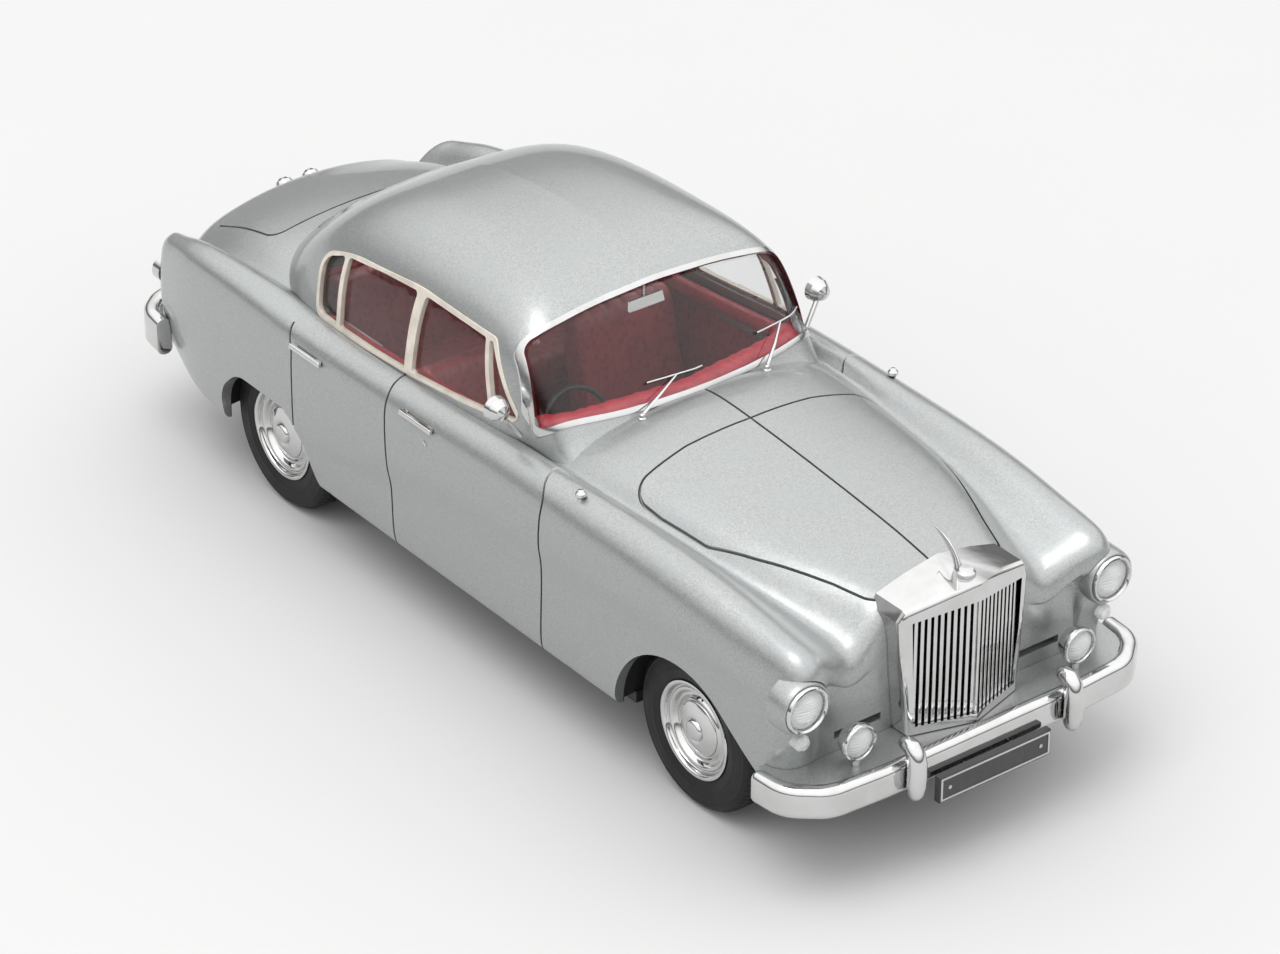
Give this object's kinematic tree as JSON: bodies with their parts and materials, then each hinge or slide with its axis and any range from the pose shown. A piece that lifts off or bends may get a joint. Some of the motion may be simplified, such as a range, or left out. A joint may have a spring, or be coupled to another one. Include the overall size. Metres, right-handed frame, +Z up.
{
  "type": "diecast collector car",
  "caption": "Small-scale model of a coachbuilt saloon: cast silver body, clear glazing, plated trim, red cabin and wheels that roll on plain axles.",
  "frame": {"origin": "on the ground under the middle of the bounding box", "axes": "+Z up, the car faces -Y, +X is its left-hand side"},
  "size_m": [0.0468, 0.1258, 0.0421],
  "materials": {
    "body_paint": "light silver metallic paint, smooth and glossy",
    "underside_black": "matte black",
    "window_glass": "clear",
    "screen_trim": "bright satin metal",
    "side_trim": "pale champagne plated strip",
    "cabin_plastic": "burgundy, satin",
    "seat_plastic": "burgundy with moulded pleats",
    "black_plastic": "black, semi gloss",
    "chrome": "mirror plated",
    "lamp_glass": "fluted clear",
    "red_lens": "translucent red",
    "plate_black": "black with a pale border, no lettering",
    "steel": "turned steel",
    "tyre": "satin black rubber"
  },
  "bodies": {
    "car_body": {"body_shell": "body_paint", "front_apron": "body_paint", "base_plate": "underside_black", "radiator_core": "underside_black", "windscreen_glass": "window_glass", "rear_window_glass": "window_glass", "side_glass_right": "window_glass", "side_glass_left": "window_glass", "windscreen_frame": "screen_trim", "rear_window_frame": "screen_trim", "side_frame_right": "side_trim", "side_frame_left": "side_trim", "interior_tub": "cabin_plastic", "dashboard": "cabin_plastic", "front_seat_right": "seat_plastic", "front_seat_left": "seat_plastic", "rear_seat": "seat_plastic", "steering_wheel": "black_plastic", "steering_column": "black_plastic", "radiator_shell": "chrome", "radiator_slats": "chrome", "radiator_cap": "chrome", "mascot": "chrome", "front_bumper": "chrome", "rear_bumper": "chrome", "front_overriders": "chrome", "rear_overriders": "chrome", "headlamp_bezel_right": "chrome", "headlamp_bezel_left": "chrome", "fog_lamp_bowl_right": "chrome", "fog_lamp_bowl_left": "chrome", "tail_lamp_bezels": "chrome", "boot_lamps": "chrome", "door_handles_right": "chrome", "door_handles_left": "chrome", "door_mirrors": "chrome", "wing_markers": "chrome", "wipers": "chrome", "interior_mirror": "chrome", "headlamp_lens_right": "lamp_glass", "headlamp_lens_left": "lamp_glass", "fog_lamp_lens_right": "lamp_glass", "fog_lamp_lens_left": "lamp_glass", "side_lamp_lenses": "lamp_glass", "tail_lamp_lenses": "red_lens", "front_number_plate": "plate_black", "rear_number_plate": "plate_black", "base_screws": "steel", "exhaust_pipe": "steel"},
    "front_wheels": {"front_axle": "steel", "tyre_front_right": "tyre", "tyre_front_left": "tyre", "wheel_front_right": "chrome", "wheel_front_left": "chrome"},
    "rear_wheels": {"rear_axle": "steel", "tyre_rear_right": "tyre", "tyre_rear_left": "tyre", "wheel_rear_right": "chrome", "wheel_rear_left": "chrome"}
  },
  "joints": [
    {"name": "front_axle_spin", "type": "hinge", "parent": "car_body", "child": "front_wheels", "pos_m": [0, -0.03885, 0.00885], "axis": [1, 0, 0], "continuous": true},
    {"name": "rear_axle_spin", "type": "hinge", "parent": "car_body", "child": "rear_wheels", "pos_m": [0, 0.0338, 0.00885], "axis": [1, 0, 0], "continuous": true}
  ]
}
